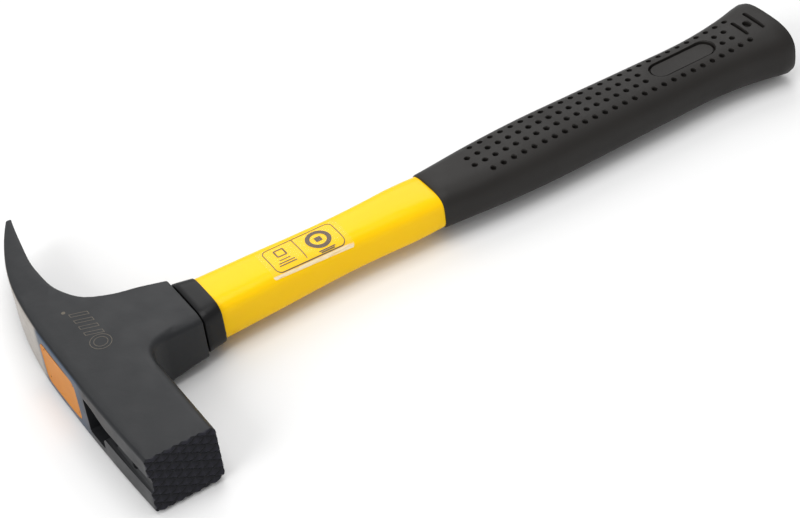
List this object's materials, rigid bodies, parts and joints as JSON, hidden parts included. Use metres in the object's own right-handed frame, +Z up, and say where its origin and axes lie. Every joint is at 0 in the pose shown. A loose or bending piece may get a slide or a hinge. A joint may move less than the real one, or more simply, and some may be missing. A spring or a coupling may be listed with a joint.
{
  "type": "roofing hammer",
  "caption": "Forged hammer with a chequered square face, magnetic nail groove and slotted curved claw on a fibreglass handle with a dimpled rubber grip.",
  "frame": {"origin": "bottom centre of the whole hammer's box, as it lies on its side", "axes": "+X along the head towards the striking face, +Y along the handle from the head to the butt, +Z up, out of the near cheek"},
  "size_m": [0.157, 0.3178, 0.0258],
  "materials": {
    "head_steel": "satin black paint on forged steel",
    "epoxy": "ground amber epoxy",
    "magnet_plating": "nickel plated",
    "adhesive": "cured adhesive",
    "collar_plastic": "moulded black plastic",
    "fibreglass": "pultruded glass fibre",
    "jacket_plastic": "glossy yellow polypropylene",
    "clear_film": "clear printed film",
    "grip_rubber": "matte moulded rubber"
  },
  "bodies": {
    "root": {"head": "head_steel", "eye_fill": "epoxy", "magnet": "magnet_plating", "magnet_bond": "adhesive", "collar": "collar_plastic", "handle_core": "fibreglass", "handle_jacket": "jacket_plastic", "label_film": "clear_film", "grip": "grip_rubber"}
  },
  "joints": []
}
